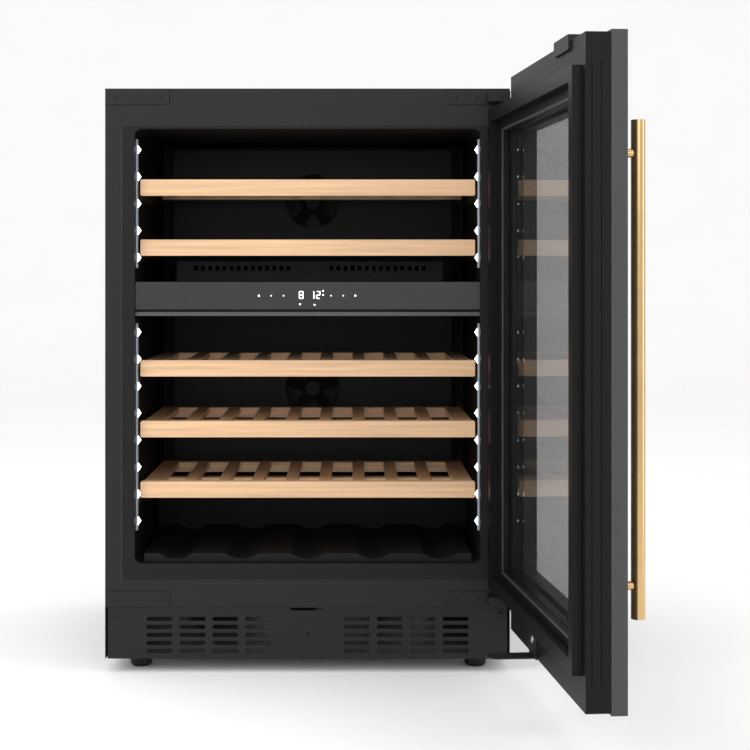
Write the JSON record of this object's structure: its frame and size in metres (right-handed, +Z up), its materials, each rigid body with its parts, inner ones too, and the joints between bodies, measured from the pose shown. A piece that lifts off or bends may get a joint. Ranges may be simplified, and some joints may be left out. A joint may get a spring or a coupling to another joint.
{
  "type": "wine cooler",
  "caption": "Built-in dual-zone wine cooler with a framed glass door, bar handle, slide-out beech shelves and a vented base grille.",
  "frame": {"origin": "centre of the underside of the base pan, at half the cabinet depth", "axes": "+Z up, -Y towards the front of the cabinet, +X to the right seen from the front (hinge side)"},
  "size_m": [0.6968, 1.141, 0.855],
  "materials": {
    "aluminium_fins": "satin",
    "beech": "satin",
    "black_plastic": "matt",
    "brass": "polished",
    "cabinet_paint": "matt",
    "circuit_board": "matt",
    "door_paint": "matt",
    "fascia_gloss": "gloss",
    "foam": "matt",
    "galvanised_steel": "dull",
    "gasket_rubber": "matt",
    "glass": "clear",
    "hinge_iron": "matt",
    "light_diffuser": "satin",
    "liner_plastic": "satin",
    "plated_steel": "satin",
    "trim_grey": "satin"
  },
  "bodies": {
    "cabinet": {"air_outlet_housing": "black_plastic", "base_pan": "galvanised_steel", "bottle_tray": "liner_plastic", "compressor": "cabinet_paint", "condenser": "aluminium_fins", "condenser_fan_shroud": "black_plastic", "control_box": "black_plastic", "control_fascia": "fascia_gloss", "display_board": "circuit_board", "divider_trim": "trim_grey", "drip_tray": "black_plastic", "evaporator_lower": "aluminium_fins", "evaporator_upper": "aluminium_fins", "foot_front_left": "black_plastic", "foot_front_right": "black_plastic", "foot_rear_left": "black_plastic", "foot_rear_right": "black_plastic", "front_bottom_rail": "cabinet_paint", "front_grille": "cabinet_paint", "front_top_rail": "cabinet_paint", "hinge_arm_lower": "hinge_iron", "hinge_arm_upper": "hinge_iron", "hinge_hole_cover_lower": "cabinet_paint", "hinge_hole_cover_upper": "cabinet_paint", "inner_liner": "liner_plastic", "insulation_foam": "foam", "led_strip_lower_left": "light_diffuser", "led_strip_lower_right": "light_diffuser", "led_strip_upper_left": "light_diffuser", "led_strip_upper_right": "light_diffuser", "rear_duct_cover_lower": "black_plastic", "rear_duct_cover_upper": "black_plastic", "rear_machine_cover": "galvanised_steel", "rear_panel": "galvanised_steel", "side_panel_left": "cabinet_paint", "side_panel_right": "cabinet_paint", "top_panel": "cabinet_paint", "zone_divider": "liner_plastic"},
    "door": {"door_front_plate": "door_paint", "door_gasket": "gasket_rubber", "door_handle": "brass", "door_inner_frame": "cabinet_paint", "glass_inner": "glass", "glass_outer": "glass", "glass_spacer": "aluminium_fins", "latch_tongue": "plated_steel"},
    "shelf_1": {"shelf_front_1": "beech", "shelf_rack_1": "beech"},
    "shelf_2": {"shelf_front_2": "beech", "shelf_rack_2": "beech"},
    "shelf_3": {"shelf_front_3": "beech", "shelf_rack_3": "beech"},
    "shelf_4": {"shelf_front_4": "beech", "shelf_rack_4": "beech"},
    "shelf_5": {"shelf_front_5": "beech", "shelf_rack_5": "beech"},
    "fan_upper": {"evaporator_fan_upper": "black_plastic"},
    "fan_lower": {"evaporator_fan_lower": "black_plastic"},
    "fan_condenser": {"condenser_fan": "black_plastic"},
    "lock": {"lock_cylinder": "plated_steel"}
  },
  "joints": [
    {"name": "door_hinge", "type": "hinge", "parent": "cabinet", "child": "door", "pos_m": [0.282, -0.285, 0.45], "axis": [0, 0, 1], "range_deg": [-95, 15]},
    {"name": "shelf_slide_1", "type": "slide", "parent": "cabinet", "child": "shelf_1", "axis": [0, -1, 0], "range_m": [0, 0.24]},
    {"name": "shelf_slide_2", "type": "slide", "parent": "cabinet", "child": "shelf_2", "axis": [0, -1, 0], "range_m": [0, 0.24]},
    {"name": "shelf_slide_3", "type": "slide", "parent": "cabinet", "child": "shelf_3", "axis": [0, -1, 0], "range_m": [0, 0.24]},
    {"name": "shelf_slide_4", "type": "slide", "parent": "cabinet", "child": "shelf_4", "axis": [0, -1, 0], "range_m": [0, 0.24]},
    {"name": "shelf_slide_5", "type": "slide", "parent": "cabinet", "child": "shelf_5", "axis": [0, -1, 0], "range_m": [0, 0.24]},
    {"name": "evaporator_fan_spin_upper", "type": "hinge", "parent": "cabinet", "child": "fan_upper", "pos_m": [0, 0.0925, 0.68], "axis": [0, 1, 0], "continuous": true},
    {"name": "evaporator_fan_spin_lower", "type": "hinge", "parent": "cabinet", "child": "fan_lower", "pos_m": [0, 0.0925, 0.37], "axis": [0, 1, 0], "continuous": true},
    {"name": "condenser_fan_spin", "type": "hinge", "parent": "cabinet", "child": "fan_condenser", "pos_m": [0.095, 0.1575, 0.079], "axis": [0, 1, 0], "continuous": true},
    {"name": "lock_turn", "type": "hinge", "parent": "cabinet", "child": "lock", "pos_m": [0, -0.2475, 0.035], "axis": [0, 1, 0], "range_deg": [0, 90]}
  ]
}
